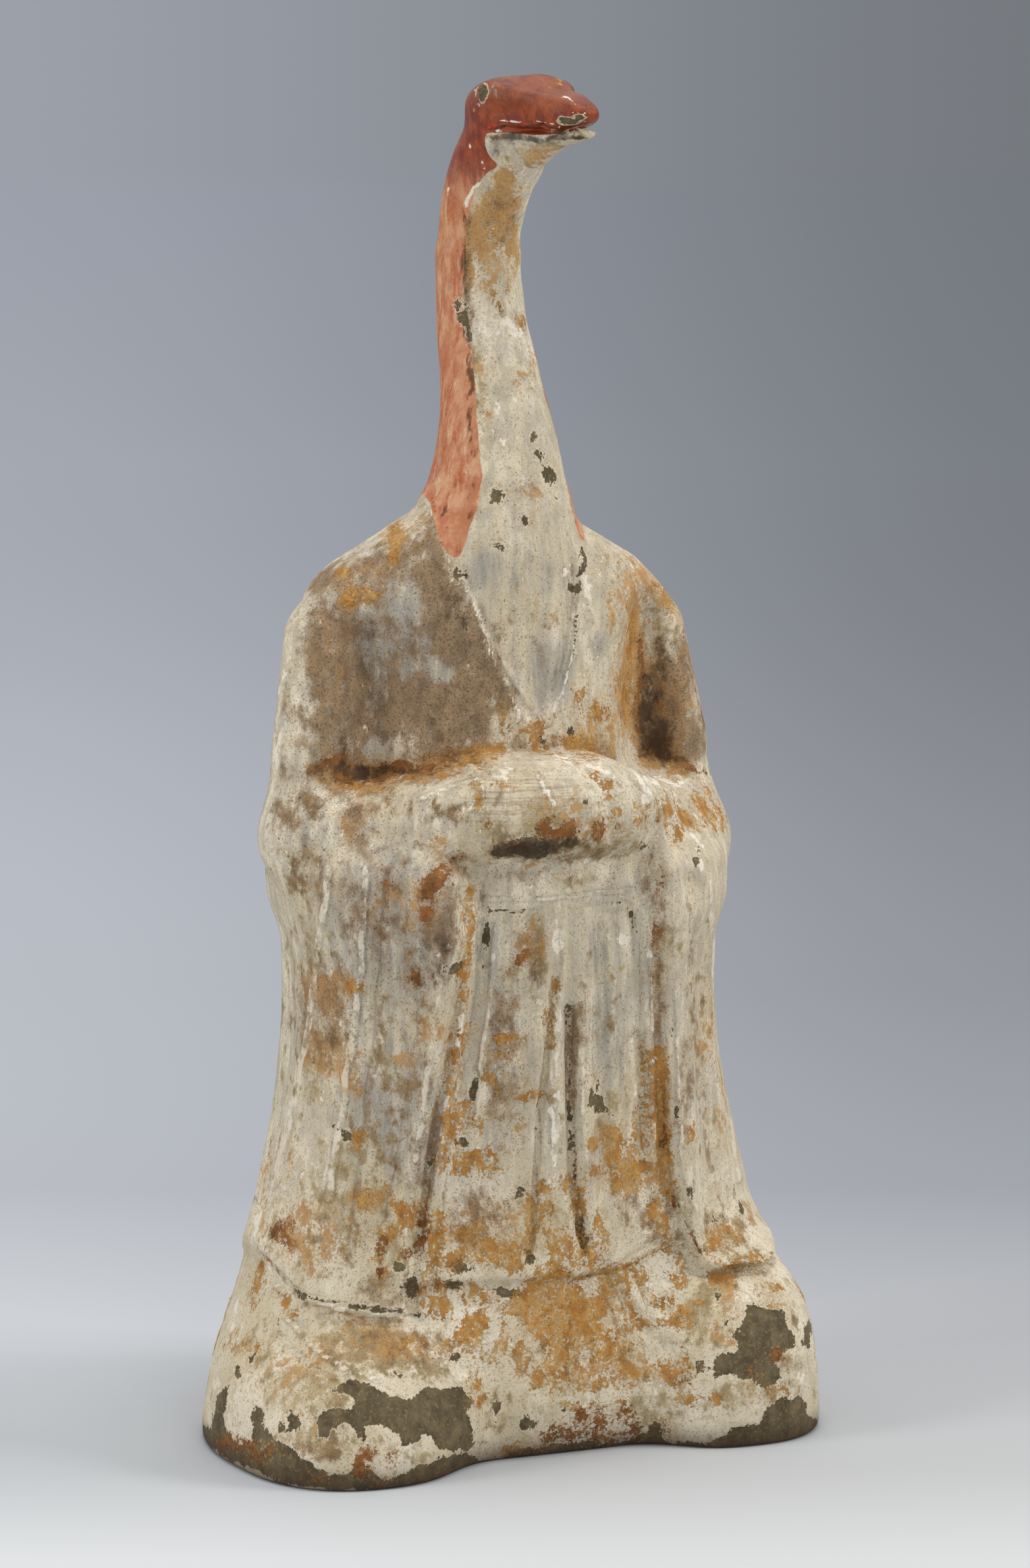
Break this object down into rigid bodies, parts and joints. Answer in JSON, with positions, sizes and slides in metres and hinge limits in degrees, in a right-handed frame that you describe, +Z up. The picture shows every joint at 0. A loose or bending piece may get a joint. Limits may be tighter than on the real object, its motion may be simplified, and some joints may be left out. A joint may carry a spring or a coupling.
{
  "type": "zodiac tomb figure",
  "caption": "Robed kneeling figure with a snake's head on a long neck, hands joined in its sleeves; a display figure that stands on its flat underside.",
  "frame": {"origin": "middle of the bounding box on the flat underside, where the figure rests", "axes": "+Z up, the figure faces -Y, its left side is +X"},
  "size_m": [0.1389, 0.0828, 0.3001],
  "materials": {
    "painted_earthenware": "matt, worn white slip and red paint over grey-brown clay, with burial soil"
  },
  "bodies": {
    "root": {"zodiac_snake_figure": "painted_earthenware"}
  },
  "joints": []
}
